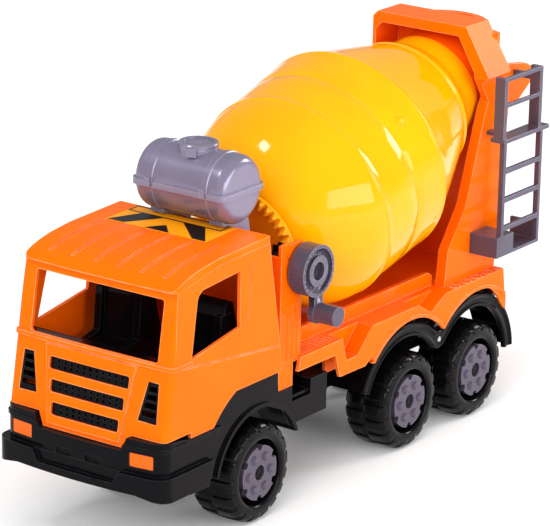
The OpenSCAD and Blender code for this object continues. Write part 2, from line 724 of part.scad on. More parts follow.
module cargo_bed() {
  arch_r = 77;
  color([1.0, 0.40, 0.02]) difference() {
    union() {
      // Deck.
      block([-231, -bed_half, deck_z - 3.2], [92, bed_half, deck_z]);
      // Skirts with wheel arches.
      both_sides() along_y(bed_half - 3, bed_half) difference() {
        polygon([[92, deck_z], [95.5, 120], [39.6, 119.5], [31.9, 97.7], [-6.5, 97.2], [-12, 100],
          [-237.5, 89.5], [-231, deck_z]]);
        circle_at(mid_axle_x, axle_z, arch_r);
        circle_at(rear_axle_x, axle_z, arch_r);
        polygon([[-10, 60], [-10, 97], [-18, 104], [-30, 60]]);
      }
      // Rounded bead along the arches.
      both_sides() along_y(bed_half - 3, bed_half + 1.2) intersection() {
        polygon([[-8, 97], [-237.5, 89.5], [-231, deck_z - 1], [-8, deck_z - 1]]);
        difference() {
          union() {
            circle_at(mid_axle_x, axle_z, arch_r + 2.4);
            circle_at(rear_axle_x, axle_z, arch_r + 2.4);
          }
          circle_at(mid_axle_x, axle_z, arch_r);
          circle_at(rear_axle_x, axle_z, arch_r);
        }
      }
      // Step recess backs behind the two notches.
      both_sides() block([-24, 57, 97.4], [32, 60, deck_z]);
      both_sides() block([-150, 57, 116], [-96, 60, deck_z]);
      // Walls of the recesses.
      both_sides() along_y(59, bed_half) polygon([[34, deck_z], [26, 107.5], [2.5, 107.5], [-25.5, deck_z]]);
      both_sides() along_y(59, bed_half) polygon([[-83, deck_z], [-107, 118], [-114.5, 118], [-141, deck_z]]);
      // Step ledge.
      both_sides() block([-8, 57, 107.5], [26, bed_half, 110.4]);
      // Rear wall, full width above the fenders and narrower between them.
      along_y(-bed_half, bed_half) polygon([[-231, deck_z], [-228, deck_z], [-230.5, 115.5], [-233.5, 115.5]]);
      along_y(-31, 31) polygon([[-231, deck_z], [-228, deck_z], [-234.4, 89.5], [-237.5, 89.5]]);
      // Raised rails beside the drum.
      both_sides() along_y(48, 52) polygon([[86, deck_z - 1], [86, 145], [-140, 145], [-146.4, 141], [-146.4, deck_z - 1]]);
      // Posts down to the chassis.
      for (x = [screw_x[1], screw_x[2], screw_x[3]])
        block([x - 6, -24, 95.1], [x + 6, 24, deck_z - 3]);
      // Front lobes that stand on the equipment boxes.
      both_sides() block([98, 52, 107.5], [119, 72, deck_z - 1]);
      block([88, -72, deck_z - 3.2], [119, 72, deck_z]);
    }
    for (x = [screw_x[1], screw_x[2], screw_x[3]])
      for (side = [-1, 1])
        translate([x, side * screw_y, 95]) cylinder(r = 2.02, h = 4, $fn = 32);
    // Notches cut into the deck edge and the skirts.
    both_sides() along_y(60.1, bed_half + 5)
      polygon([[30.6, deck_z + 5], [23, 110.4], [5.3, 110.4], [-21.4, deck_z + 5]]);
    both_sides() along_y(60.1, bed_half + 5)
      polygon([[-88, deck_z + 1], [-108.7, 121], [-113, 121], [-135.8, deck_z + 1]]);
    // Ribs on the front walkway.
    for (i = [0 : 9])
      both_sides() block([34 + 5.4 * i, 55.5, deck_z - 0.8], [36 + 5.4 * i, 72, deck_z + 1]);
  }
  // Raised tread bars on the rear walkway.
  color([1.0, 0.40, 0.02]) both_sides()
    for (i = [0 : 8])
      for (j = [0 : 1])
        translate([-152 - 9 * i, 69.2 + 4.4 * j, deck_z - 0.2]) rotate((i + j) % 2 == 0 ? 35 : -35)
          translate([-2.6, -0.7, 0]) cube([5.2, 1.4, 0.9]);
}

// Open-topped housing behind the cab that carries the drum pin and the crank.
module drum_tower() {
  pin_front_s = (drum_x - tower_front_x) / cos(drum_tilt);
  color([1.0, 0.38, 0.02]) difference() {
    union() {
      // Front wall.
      block([tower_front_x - 4, -tower_half, deck_z + 0.1], [tower_front_x, tower_half, 226]);
      // Side walls with a small step in their top edge.
      both_sides() along_y(tower_half - 3.5, tower_half)
        polygon([[tower_front_x, deck_z + 0.1], [tower_front_x, tower_top_z - 1.6], [106.3, tower_top_z],
          [106.3, tower_top_z - 2.4], [tower_rear_x, tower_top_z - 2.4], [tower_rear_x, deck_z + 0.1]]);
      // Vertical ribs outside.
      both_sides()
        for (x = [92, 99, 106])
          block([x, tower_half - 0.1, deck_z + 0.1], [x + 2.4, tower_half + 1.2, 180]);
      // Foot flange.
      block([tower_rear_x, -tower_half, deck_z + 0.1], [tower_front_x, tower_half, deck_z + 3]);
      // Boss for the drum pin.
      intersection() {
        on_drum_axis() translate([0, 0, pin_front_s - 2]) cylinder(r = 13, h = 16);
        block([80, -20, 160], [tower_front_x, 20, 226]);
      }
      // Inner bearing arm for the crank shaft, and the bush in the side wall.
      block([crank_x - 5, 33, crank_z - 8], [tower_front_x, 38, crank_z + 8]);
      y_bar(crank_x, crank_z, 11, tower_half - 6, tower_half + 0.8);
    }
    on_drum_axis() translate([0, 0, pin_front_s - 10]) cylinder(r = pin_r, h = 40);
    y_bar(crank_x, crank_z, 4 + run_gap, 30, 40, 48);
    y_bar(crank_x, crank_z, 6 + run_gap, 60, 80, 48);
  }
}

// ---------------------------------------------------------------- drum

// Radius of the drum's outside at a distance along its axis.
function bowl_r(t) = 53 + (ring1_r - 53) * pow(sin(90 * t), 0.78);
function drum_outer(s) =
  s < ring1_s ? bowl_r((s - drum_front_s) / (ring1_s - drum_front_s)) :
  s < ring2_s ? ring1_r + (drum_r - ring1_r) * (s - ring1_s) / (ring2_s - ring1_s) :
  drum_r + (ring3_r - drum_r) * (s - ring2_s) / (ring3_s - ring2_s);

// Front half: a deep bowl and the widest band, closed in front by a bearing plate.
module drum_front_shell() {
  join_s = 66;
  color([1.0, 0.78, 0.0]) on_drum_axis() difference() {
    rotate_extrude($fn = 128) polygon(concat(
      [[pin_r + run_gap, drum_front_s], [53, drum_front_s]],
      [for (s = bowl_steps) [drum_outer(s), s]],
      [[ring1_r, ring1_s - 1.6], [ring1_r + 1.2, ring1_s], [ring1_r, ring1_s + 1.6],
       [drum_outer(join_s), join_s], [drum_outer(join_s) - drum_wall, join_s],
       [ring1_r - drum_wall, ring1_s]],
      [for (i = [10 : -1 : 0]) [drum_outer(bowl_steps[i]) - drum_wall, bowl_steps[i] + drum_wall * (1 - i / 11)]],
      [[50, drum_front_s + 4], [14, drum_front_s + 4], [14, drum_front_s + 16],
       [pin_r + run_gap, drum_front_s + 16]]));
  }
}

// Rear half: the rest of the band, the cone and the mouth collar.
module drum_rear_shell() {
  join_s = 66;
  lap_r = drum_outer(join_s) - drum_wall;
  color([1.0, 0.80, 0.0]) on_drum_axis() rotate_extrude($fn = 128) polygon([
    [lap_r + drum_wall, join_s], [drum_outer(ring2_s), ring2_s - 3], [drum_r + 0.4, ring2_s],
    [drum_outer(ring2_s + 4) + 0.2, ring2_s + 4], [ring3_r + 3, ring3_s - 6], [ring3_r + 1.2, ring3_s - 1],
    [ring3_r - 1, ring3_s + 2], [mouth_r + 4, ring3_s + 14], [mouth_r + 1, mouth_s - 4],
    [mouth_r + 0.6, mouth_s], [mouth_r - 2, mouth_s], [mouth_r - 1.6, mouth_s - 5],
    [mouth_r + 1.4, ring3_s + 12.5], [ring3_r - 3.8, ring3_s + 0.5], [ring3_r + 0.2, ring3_s - 7.5],
    [drum_r - drum_wall, ring2_s + 3], [drum_r - drum_wall - 0.4, ring2_s], [lap_r + 0.1, join_s + 10],
    [lap_r - 2.4, join_s + 5], [lap_r - 2.4, join_s - 9], [lap_r - 0.9, join_s - 9],
    [lap_r - 0.35, join_s - 8], [lap_r - 0.35, join_s]
  ]);
}

// Crown gear on the front of the drum: radial teeth on a flat ring, facing forward.
module crown_gear() {
  tip_half = tooth_half - tooth_add * tan(20);
  root_half = tooth_half + tooth_ded * tan(20);
  color([1.0, 0.78, 0.0]) on_drum_axis() {
    difference() {
      translate([0, 0, crown_back_s]) cylinder(r = crown_pitch_r + tooth_face / 2 + 0.8, h = 3.5);
      translate([0, 0, crown_back_s - 1]) cylinder(r = crown_pitch_r - tooth_face / 2 - 2.5, h = 6);
    }
    for (i = [0 : crown_teeth - 1])
      rotate(90 + (i + 0.5) * 360 / crown_teeth)
        translate([crown_pitch_r - tooth_face / 2, 0, crown_s]) rotate([90, 0, 90])
          linear_extrude(tooth_face)
            polygon([[-tip_half, -tooth_add], [tip_half, -tooth_add], [root_half, tooth_ded + 0.1],
              [-root_half, tooth_ded + 0.1]]);
  }
}

// Pin that the front of the drum turns on, pressed into the tower.
module drum_pin() {
  pin_front_s = (drum_x - tower_front_x) / cos(drum_tilt);
  color([0.75, 0.76, 0.78]) on_drum_axis() {
    translate([0, 0, pin_front_s + 1.5]) cylinder(r = pin_r, h = drum_front_s + 17 - pin_front_s - 1.5, $fn = 48);
    translate([0, 0, drum_front_s + 16.6]) rotate_extrude() polygon([[0, 0], [8.5, 0], [8.5, 1.6], [6, 4], [0, 4]]);
  }
}

// ---------------------------------------------------------------- crank

module crank_shaft() {
  color([0.75, 0.76, 0.78]) {
    y_bar(crank_x, crank_z, 4, 31, 56, 48);
    y_bar(crank_x, crank_z, 6, 55.9, 84, 48);
  }
}

// Straight-cut pinion whose teeth roll along the crown gear.
module crank_pinion() {
  tip_half = tooth_half - tooth_add * tan(20);
  root_half = tooth_half + tooth_ded * tan(20) * 0.8;
  color([0.05, 0.05, 0.06]) translate([crank_x, pinion_y + tooth_face, crank_z]) rotate([90, 0, 0]) difference() {
    linear_extrude(tooth_face) union() {
      circle(r = pinion_pitch_r - tooth_ded + 0.2);
      for (i = [0 : pinion_teeth - 1])
        rotate(180 - drum_tilt + i * 360 / pinion_teeth)
          polygon([[pinion_pitch_r - tooth_ded - 0.5, -root_half], [pinion_pitch_r + tooth_add, -tip_half],
            [pinion_pitch_r + tooth_add, tip_half], [pinion_pitch_r - tooth_ded - 0.5, root_half]]);
    }
    translate([0, 0, -1]) cylinder(r = 4, h = tooth_face + 2, $fn = 48);
  }
}

module crank_handle() {
  knob_dx = knob_x - crank_x;
  knob_dz = knob_z - crank_z;
  arm_len = sqrt(knob_dx * knob_dx + knob_dz * knob_dz);
  arm_angle = atan2(-knob_dx, -knob_dz);
  color([0.58, 0.56, 0.62]) difference() {
    union() {
      y_bar(crank_x, crank_z, crank_r, tower_half + 2.2, crank_face_y - 3.2, 96);
      difference() {
        y_bar(crank_x, crank_z, crank_r, crank_face_y - 4, crank_face_y, 96);
        y_bar(crank_x, crank_z, crank_r - 3, crank_face_y - 3.2, crank_face_y + 1, 96);
      }
      y_bar(crank_x, crank_z, 13.5, crank_face_y - 4, crank_face_y, 64);
      translate([crank_x, 0, crank_z]) rotate([0, arm_angle, 0])
        block([-6.5, arm_back_y, -arm_len], [6.5, arm_face_y, -crank_r + 4]);
      y_bar(knob_x, knob_z, knob_r + 1, arm_back_y, arm_face_y, 48);
    }
    y_bar(crank_x, crank_z, 8, crank_face_y - 5.5, crank_face_y + 1, 48);
    y_bar(crank_x, crank_z, 6, 60, 84, 48);
  }
}

module crank_knob() {
  color([0.60, 0.58, 0.64]) y_bar(knob_x, knob_z, knob_r, arm_face_y, knob_end_y, 64);
}

// ---------------------------------------------------------------- rear frame

// Outline of the frame's head as seen from the front, with its drum opening.
module head_outline() {
  difference() {
    polygon([[-47, frame_top_z], [49, frame_top_z], [shoulder_y, 320], [66, 312], [66, 250],
      [-66, 250], [-66, 302], [-52, 318], [-52, frame_top_z - 5]]);
    polygon([[-41.5, 353.8], [41.5, 353.8], [60, 322], [60, 240], [-60, 240], [-60, 304],
      [-48.5, 320.5], [-48.5, 347]]);
  }
}

module rear_frame() {
  color([1.0, 0.40, 0.02]) {
    difference() {
      union() {
        // Head: a portal round the drum mouth.
        intersection() {
          along_x(frame_rear_x, frame_front_x) head_outline();
          along_y(-80, 80) polygon([[frame_front_x, 370], [frame_front_x, 318], [-213, 288],
            [-213, 240], [-245, 240], [-245, 370]]);
        }
        // Legs: buttresses that widen towards the bed.
        both_sides() along_y(60, 66) polygon([[-213, 300], [-205, 285], [-177.6, 203], [-150, 165],
          [-146.4, deck_z + 0.1], [-230, deck_z + 0.1], [-238, 211], [-246, 300]]);
        // Leg flanges.
        both_sides() along_y(56, 66) polygon([[-213, 300], [-205, 285], [-177.6, 203], [-150, 165],
          [-146.4, deck_z + 0.1], [-150.4, deck_z + 0.1], [-153.6, 166.4], [-181.4, 205], [-209, 287],
          [-216, 300]]);
        // Cross wall behind the drum, below the mouth.
        along_x(-234, -230.4) polygon([[-60.1, deck_z + 0.1], [60.1, deck_z + 0.1], [60.1, 353], [41.5, 356],
          [-41.5, 356], [-60.1, 353]]);
        // Ladder hooks.
        along_y(60, 66) polygon([[-232, 324], [-272, 318], [-284, 312], [-282, 299], [-262, 286], [-240, 284]]);
      }
      // Way from the drum mouth into the hopper.
      on_drum_axis() translate([0, 0, mouth_s - 30]) cylinder(r = mouth_r - 3.6, h = 60, $fn = 96);
    }
    // Foot flanges on the deck.
    both_sides() block([-229, 40, deck_z + 0.1], [-152, 60.1, deck_z + 3]);
    // Shelf that carries the chute pin.
    difference() {
      union() {
        block([chute_x, -14, shelf_z - 4], [-233.9, 14, shelf_z]);
        translate([chute_x, 0, shelf_z - 4]) cylinder(r = 11, h = 4);
        along_y(-2, 2) polygon([[-233.9, shelf_z - 3], [chute_x - 4, shelf_z - 3], [-233.9, shelf_z - 26]]);
      }
      translate([chute_x, 0, shelf_z - 30]) cylinder(r = 4, h = 40, $fn = 48);
      translate([chute_x, 0, shelf_z - 30]) cylinder(r = 7.4, h = 26);
    }
  }
}

// Ring that the drum's open end turns on.
module mouth_ring() {
  color([0.05, 0.05, 0.06]) difference() {
    on_drum_axis() rotate_extrude($fn = 96) polygon([
      [mouth_r - 6, mouth_s - 12], [mouth_r - 3, mouth_s - 12], [mouth_r - 2.3, mouth_s - 8],
      [mouth_r - 2.3, mouth_s + 40], [mouth_r - 6, mouth_s + 40]
    ]);
    block([-400, -100, 100], [frame_rear_x, 100, 400]);
  }
}

// Feed hopper on the back of the frame: a half-round bowl over a straight throat.
module feed_hopper() {
  color([1.0, 0.40, 0.02]) difference() {
    union() {
      translate([0, 0, 296]) linear_extrude(54) hopper_plan(hopper_r - 3);
      translate([0, 0, 348]) linear_extrude(7.4) hopper_plan(hopper_r);
      block([-262, -30, 236], [-234.1, 30, 296.1]);
    }
    translate([0, 0, 299]) linear_extrude(70) hopper_plan(hopper_r - 6);
    block([-259, -27, 220], [-230, 27, 310]);
    // Way in from the drum.
    on_drum_axis() translate([0, 0, mouth_s - 30]) cylinder(r = mouth_r - 18, h = 60, $fn = 96);
  }
}

// Half-round plan behind the frame.
module hopper_plan(r) {
  intersection() {
    translate([-229.5, 0]) circle(r = r, $fn = 96);
    translate([-300, -60]) square([65.9, 120]);
  }
}

// Half-round trough on a swivel boss, sloping down to the rear.
module discharge_chute() {
  color([1.0, 0.40, 0.02]) difference() {
    union() {
      on_chute() difference() {
        along_x(-chute_len, 14) chute_section(chute_half);
        along_x(-chute_len - 1, 15) chute_section(chute_half - 2.6);
      }
      translate([chute_x, 0, shelf_z + 0.4]) cylinder(r = 9, h = 23);
    }
    // The trough stays open above the boss.
    on_chute() along_x(-chute_len - 1, 15) chute_section(chute_half - 2.6);
    translate([chute_x, 0, shelf_z - 1]) cylinder(r = 4 + run_gap, h = 60, $fn = 48);
    // Its front end is cut upright.
    block([-245.5, -40, 150], [-200, 40, 260]);
  }
}

// Draws its children on the chute's slope.
module on_chute() {
  translate([chute_x, 0, shelf_z + chute_rise]) rotate([0, -chute_slope, 0]) children();
}

// Cross section of the trough: a half circle with short straight sides.
module chute_section(half) {
  intersection() {
    union() {
      circle(r = half, $fn = 64);
      translate([-half, 0]) square([2 * half, 30]);
    }
    translate([-half, -half]) square([2 * half, half + 5]);
  }
}

module chute_pin() {
  color([0.75, 0.76, 0.78]) {
    translate([chute_x, 0, shelf_z - 6]) cylinder(r = 4, h = 17, $fn = 48);
    translate([chute_x, 0, shelf_z - 7.6]) cylinder(r = 7, h = 3.5, $fn = 48);
  }
}

// ---------------------------------------------------------------- ladder

// Ladder with a foot tray, three rungs, a standing platform and a guard frame above it.
module ladder() {
  x_front = -192;
  x_rear = -257.5;
  rail = 4;
  inner = ladder_y - 5.5;
  color([0.58, 0.56, 0.62]) {
    // Lower rails.
    block([x_front - rail, inner, 155.5], [x_front, ladder_y, 265]);
    block([x_rear, inner, 155.5], [x_rear + rail, ladder_y, 265]);
    // Rungs.
    for (z = [181.7, 208.8, 235.9])
      block([x_rear, ladder_y - 4, z - 2.4], [x_front, ladder_y, z + 2.4]);
    // Foot tray reaching in to the frame.
    difference() {
      block([x_rear, 66.1, 155.5], [x_front + 6, ladder_y, 175]);
      block([x_rear + 3, 66, 158.5], [x_front - 22, ladder_y + 1, 180]);
      block([x_front - 19, 69, 150], [x_front + 3, ladder_y - 3, 172]);
    }
    // Platform.
    block([x_rear - 8, ladder_y - 14, 263], [x_front + 3, ladder_y + 1.5, 267]);
    // Guard frame.
    block([x_front - 2, ladder_y - 11, 267], [x_front + 3, ladder_y, 324]);
    block([x_rear + 4, ladder_y - 11, 267], [x_rear + 9, ladder_y, 324]);
    block([x_rear + 4, ladder_y - 3, 296], [x_front + 3, ladder_y, 300]);
    block([x_rear + 4, ladder_y - 4, 320], [x_front + 3, ladder_y, 324]);
    // Arms onto the frame's hook and leg.
    block([x_rear + 4, 66.1, 310], [x_rear + 8, ladder_y - 2, 316]);
    block([x_front - 24, 66.1, 263], [x_front - 16, ladder_y - 12, 267]);
  }
}

// ---------------------------------------------------------------- tank and sticker

module tank_solid(shrink) {
  translate([tank_x, 0, tank_z]) rotate([90, 0, 0])
    rotate_extrude($fn = 96) polygon([for (p = tank_profile)
      [p[0] == 0 ? 0 : p[0] - shrink, p[1] * (tank_half - shrink) / tank_half]]);
}

// Seam flange round the tank between two heights above its middle plane.
module tank_flange(z0, z1) {
  translate([tank_x, 0, tank_z + z0]) linear_extrude(z1 - z0)
    round_rect([-tank_r - 1.6, -tank_half - 1.6], [tank_r + 1.6, tank_half + 1.6], 9);
}

module tank_bottom() {
  color([0.60, 0.58, 0.64]) difference() {
    union() {
      intersection() {
        tank_solid(0);
        block([60, -80, 200], [220, 80, tank_z]);
      }
      tank_flange(-4, 0);
    }
    tank_solid(2.5);
    block([60, -80, tank_z], [220, 80, 400]);
  }
}

module tank_top() {
  color([0.60, 0.58, 0.64]) difference() {
    union() {
      intersection() {
        tank_solid(0);
        block([60, -80, tank_z], [220, 80, 400]);
      }
      tank_flange(0, 1.6);
      translate([tank_x, 0, tank_z + 18]) cylinder(r = 17.5, h = tank_r - 17.5);
      // Clips that hook over the seam.
      for (side = [-1, 1])
        for (y = [-28.5, 28.5])
          translate([tank_x, y, tank_z]) rotate(side == 1 ? 0 : 180) {
            block([30, -2.4, 0.01], [33.4, 2.4, 5]);
            block([tank_r + 1.7, -2.4, -3], [33.4, 2.4, 0.5]);
          }
    }
    tank_solid(2.5);
    translate([tank_x, 0, tank_z + 10]) cylinder(r = 9.02, h = 40);
  }
}

module tank_cap() {
  top = 320.4;
  under = tank_z + tank_r + 0.5;
  color([0.60, 0.58, 0.64]) translate([tank_x, 0, 0]) {
    rotate_extrude() polygon([
      [0, under - 9], [9, under - 9], [9, under], [17.5, under], [17.5, top - 1.2], [16.6, top],
      [13.5, top], [13.5, top - 1.1], [0, top - 1.1]
    ]);
    rotate(20) translate([17.6, -4, tank_z + 25.5]) cube([3, 8, top - 1.6 - tank_z - 25.5]);
    rotate(20) translate([15, -4, under + 1]) cube([3, 8, top - 1.6 - under - 1]);
    rotate(-30) translate([-9, -1.6, top - 2]) cube([18, 3.2, 1.6]);
  }
}

// Two feet that stand on the tower, lean over the roof's rear edge and cradle the tank.
module tank_saddle() {
  color([0.52, 0.50, 0.56]) difference() {
    both_sides() along_y(24, 38)
      polygon([[113, 226.1], [119, 226.1], [136, 245], [143.8, 254.4], [147, 254.4], [156, 256],
        [156, 266], [122, 266]]);
    tank_solid(-0.1);
  }
}

// Printed hazard sticker on the rear of the roof.
module roof_sticker() {
  slope_deg = atan(2.5 / 70.4);
  color([0.95, 0.65, 0.05]) translate([146.5, 0, roof_rear_z - 1.9 * tan(slope_deg) + 0.05])
    rotate([0, slope_deg, 0]) translate([0, -59, 0]) cube([43.5, 105, 0.35]);
}

// ---------------------------------------------------------------- drawing

chassis_frame();
axle(front_axle_x);  // front_axle
axle(mid_axle_x);  // mid_axle
axle(rear_axle_x);  // rear_axle
axle_caps(front_axle_x);  // axle_caps_front
axle_caps(mid_axle_x);  // axle_caps_mid
axle_caps(rear_axle_x);  // axle_caps_rear
tyre(front_axle_x, 1);  // tyre_front_left
tyre(front_axle_x, -1);  // tyre_front_right
tyre(mid_axle_x, 1);  // tyre_mid_left
tyre(mid_axle_x, -1);  // tyre_mid_right
tyre(rear_axle_x, 1);  // tyre_rear_left
tyre(rear_axle_x, -1);  // tyre_rear_right
hub(front_axle_x, 1);  // hub_front_left
hub(front_axle_x, -1);  // hub_front_right
hub(mid_axle_x, 1);  // hub_mid_left
hub(mid_axle_x, -1);  // hub_mid_right
hub(rear_axle_x, 1);  // hub_rear_left
hub(rear_axle_x, -1);  // hub_rear_right
cab_shell();
cab_floor();
seats();
dashboard();
grille_insert();
side_vents();
bumper();
headlights();
front_fender_left();
front_fender_right();
cargo_bed();
rear_fender_left();
rear_fender_right();
drum_tower();
drum_pin();
drum_front_shell();
drum_rear_shell();
crown_gear();
crank_shaft();
crank_pinion();
crank_handle();
crank_knob();
rear_frame();
mouth_ring();
feed_hopper();
discharge_chute();
chute_pin();
ladder();
tank_saddle();
tank_bottom();
tank_top();
tank_cap();
roof_sticker();
chassis_screws();
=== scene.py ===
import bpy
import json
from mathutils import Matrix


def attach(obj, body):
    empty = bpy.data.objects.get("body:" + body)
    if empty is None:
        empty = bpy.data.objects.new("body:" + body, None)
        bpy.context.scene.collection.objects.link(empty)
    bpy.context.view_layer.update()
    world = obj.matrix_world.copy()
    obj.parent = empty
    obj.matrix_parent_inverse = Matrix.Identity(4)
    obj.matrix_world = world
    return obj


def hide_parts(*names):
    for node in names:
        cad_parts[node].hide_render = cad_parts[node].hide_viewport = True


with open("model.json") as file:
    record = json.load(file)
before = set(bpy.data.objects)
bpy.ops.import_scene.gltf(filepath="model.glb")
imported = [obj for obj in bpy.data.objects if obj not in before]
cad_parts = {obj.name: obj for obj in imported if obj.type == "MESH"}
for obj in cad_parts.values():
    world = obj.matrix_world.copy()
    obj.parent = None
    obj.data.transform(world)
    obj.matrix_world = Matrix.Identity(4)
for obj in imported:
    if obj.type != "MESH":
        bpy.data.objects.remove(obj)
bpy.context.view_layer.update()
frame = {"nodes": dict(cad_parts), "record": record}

import json
import math

import bmesh
import bpy
from mathutils import Matrix, Vector

NODES = frame["nodes"]
MM = 0.001


# ---------------------------------------------------------------- materials

def link(tree, a, b):
    tree.links.new(a, b)


def make_node(tree, kind, inputs=None, **props):
    n = tree.nodes.new(kind)
    for key, value in props.items():
        setattr(n, key, value)
    for key, value in (inputs or {}).items():
        n.inputs[key].default_value = value
    return n


def math_node(tree, op, a, b=None, clamp=False):
    n = make_node(tree, "ShaderNodeMath", operation=op, use_clamp=clamp)
    for i, v in enumerate((a, b)):
        if v is None:
            continue
        if isinstance(v, (int, float)):
            n.inputs[i].default_value = v
        else:
            link(tree, v, n.inputs[i])
    return n.outputs[0]


def mix_color(tree, fac, a, b, blend="MIX"):
    n = make_node(tree, "ShaderNodeMix", data_type="RGBA", blend_type=blend)
    for i, v in ((0, fac), (6, a), (7, b)):
        if hasattr(v, "links"):
            link(tree, v, n.inputs[i])
        else:
            n.inputs[i].default_value = v if i == 0 else (*v, 1.0)
    return n.outputs[2]


def noise(tree, vector, scale, detail=4.0, rough=0.5):
    n = make_node(tree, "ShaderNodeTexNoise", {"Scale": scale, "Detail": detail, "Roughness": rough})
    link(tree, vector, n.inputs["Vector"])
    return n.outputs["Fac"]


def ramp(tree, value, low, high):
    n = make_node(tree, "ShaderNodeMapRange", {"From Min": low, "From Max": high}, clamp=True)
    link(tree, value, n.inputs["Value"])
    return n.outputs["Result"]


MOTTLE = 0.06           # how far a plastic's colour drifts over the surface
EDGE_WEAR_AND_HIGHLIGHT_REACH = 0.0011      # how far from an edge the wear and painted highlight reach, in metres


def plastic(name, color, pale, rough, specular, wear_and_highlight_strength=0.35, grain=0.12, dust=0.0, metal=0.0):
    """A moulded plastic: mottled colour, uneven gloss, fine grain, and paler edges, partly scuffed wear and
    partly a painted highlight.
    """
    mat = bpy.data.materials.new(name)
    mat.use_nodes = True
    tree = mat.node_tree
    shader = tree.nodes["Principled BSDF"]
    coords = make_node(tree, "ShaderNodeTexCoord").outputs["Object"]
    geometry = make_node(tree, "ShaderNodeNewGeometry")

    broad = noise(tree, coords, 14.0, 3.0)
    fine = noise(tree, coords, 160.0, 5.0, 0.6)
    tint = mix_color(tree, ramp(tree, broad, 0.35, 0.65), [c * (1 - MOTTLE) for c in color],
                     [min(1.0, c * (1 + MOTTLE)) for c in color])

    # Edge mask: the pale colour laid along edges is partly scuffed wear and partly a painted highlight
    # standing in for light caught on the edges; it also roughens them.
    bevel = make_node(tree, "ShaderNodeBevel", {"Radius": EDGE_WEAR_AND_HIGHLIGHT_REACH}, samples=4)
    dot = make_node(tree, "ShaderNodeVectorMath", operation="DOT_PRODUCT")
    link(tree, bevel.outputs[0], dot.inputs[0])
    link(tree, geometry.outputs["Normal"], dot.inputs[1])
    edge = math_node(tree, "SUBTRACT", 1.0, dot.outputs["Value"], clamp=True)
    edge = ramp(tree, edge, 0.02, 0.22)
    edge_breakup = ramp(tree, noise(tree, coords, 55.0, 6.0, 0.7), 0.28, 0.58)
    wear_and_highlight = math_node(tree, "MULTIPLY", math_node(tree, "MULTIPLY", edge, edge_breakup), wear_and_highlight_strength)
    tint = mix_color(tree, wear_and_highlight, tint, pale)
    if dust:
        upward = make_node(tree, "ShaderNodeSeparateXYZ")
        link(tree, geometry.outputs["Normal"], upward.inputs[0])
        settled = ramp(tree, upward.outputs["Z"], 0.3, 1.0)
        settled = math_node(tree, "MULTIPLY", settled, ramp(tree, fine, 0.35, 0.7))
        tint = mix_color(tree, math_node(tree, "MULTIPLY", settled, dust), tint, (0.55, 0.5, 0.45))
    link(tree, tint, shader.inputs["Base Color"])

    patches = math_node(tree, "MULTIPLY", ramp(tree, broad, 0.3, 0.7), 0.08)
    gloss = math_node(tree, "ADD", patches, rough - 0.04)
    gloss = math_node(tree, "ADD", gloss, math_node(tree, "MULTIPLY", wear_and_highlight, 0.35))
    link(tree, gloss, shader.inputs["Roughness"])
    shader.inputs["Metallic"].default_value = metal
    shader.inputs["Specular IOR Level"].default_value = specular

    height = math_node(tree, "ADD", math_node(tree, "MULTIPLY", noise(tree, coords, 1400.0, 2.0), 0.35),
                       math_node(tree, "MULTIPLY", noise(tree, coords, 45.0, 2.0), 1.6))
    bump = make_node(tree, "ShaderNodeBump", {"Strength": grain, "Distance": 0.0004})
    link(tree, height, bump.inputs["Height"])
    link(tree, bump.outputs[0], shader.inputs["Normal"])
    return mat


def steel(name):
    mat = bpy.data.materials.new(name)
    mat.use_nodes = True
    tree = mat.node_tree
    shader = tree.nodes["Principled BSDF"]
    coords = make_node(tree, "ShaderNodeTexCoord").outputs["Object"]
    streak = noise(tree, coords, 300.0, 5.0, 0.7)
    link(tree, mix_color(tree, streak, (0.42, 0.43, 0.45), (0.62, 0.62, 0.64)), shader.inputs["Base Color"])
    gloss = math_node(tree, "ADD", math_node(tree, "MULTIPLY", streak, 0.25), 0.22)
    link(tree, gloss, shader.inputs["Roughness"])
    shader.inputs["Metallic"].default_value = 1.0
    bump = make_node(tree, "ShaderNodeBump", {"Strength": 0.15, "Distance": 0.0002})
    link(tree, streak, bump.inputs["Height"])
    link(tree, bump.outputs[0], shader.inputs["Normal"])
    return mat


# Base colours are linear; pale is the colour laid along the edges, partly scuffed wear and partly a painted
# highlight.
ORANGE = plastic("orange_plastic", (1.0, 0.140, 0.001), (1.0, 0.78, 0.48),
                 rough=0.14, specular=0.055, wear_and_highlight_strength=0.6)
# A darker, redder copy of the orange plastic for inner faces: painted shade, not a different plastic.
SHADED_ORANGE = plastic("shaded_inner_orange_plastic", (1.0, 0.100, 0.001), (1.0, 0.25, 0.06),
                     rough=0.30, specular=0.08)
YELLOW = plastic("yellow_plastic", (1.0, 0.375, 0.001), (1.0, 0.72, 0.20),
                 rough=0.07, specular=0.24, wear_and_highlight_strength=0.5, grain=0.04)
GREY = plastic("grey_plastic", (0.088, 0.074, 0.110), (0.40, 0.36, 0.44),
               rough=0.22, specular=0.30, wear_and_highlight_strength=0.6, metal=0.25)
TANK_GREY = plastic("tank_plastic", (0.225, 0.204, 0.290), (0.55, 0.52, 0.62),
                    rough=0.25, specular=0.35, wear_and_highlight_strength=0.6, metal=0.40)
BLACK = plastic("black_plastic", (0.0035, 0.003, 0.004), (0.06, 0.06, 0.065),
                rough=0.13, specular=0.07, wear_and_highlight_strength=0.6)
TYRE = plastic("tyre_plastic", (0.0025, 0.0025, 0.003), (0.05, 0.05, 0.055),
               rough=0.14, specular=0.12, dust=0.001)
LAMP = plastic("lamp_plastic", (1.0, 0.130, 0.002), (1.0, 0.35, 0.1),
               rough=0.12, specular=0.2)
STICKER = plastic("sticker_film", (0.95, 0.330, 0.004), (1.0, 0.5, 0.2),
                  rough=0.35, specular=0.15, wear_and_highlight_strength=0.1)
PRINT = plastic("black_print", (0.006, 0.006, 0.008), (0.05, 0.05, 0.05),
                rough=0.30, specular=0.2, wear_and_highlight_strength=0.1)
STEEL = steel("drawn_steel")
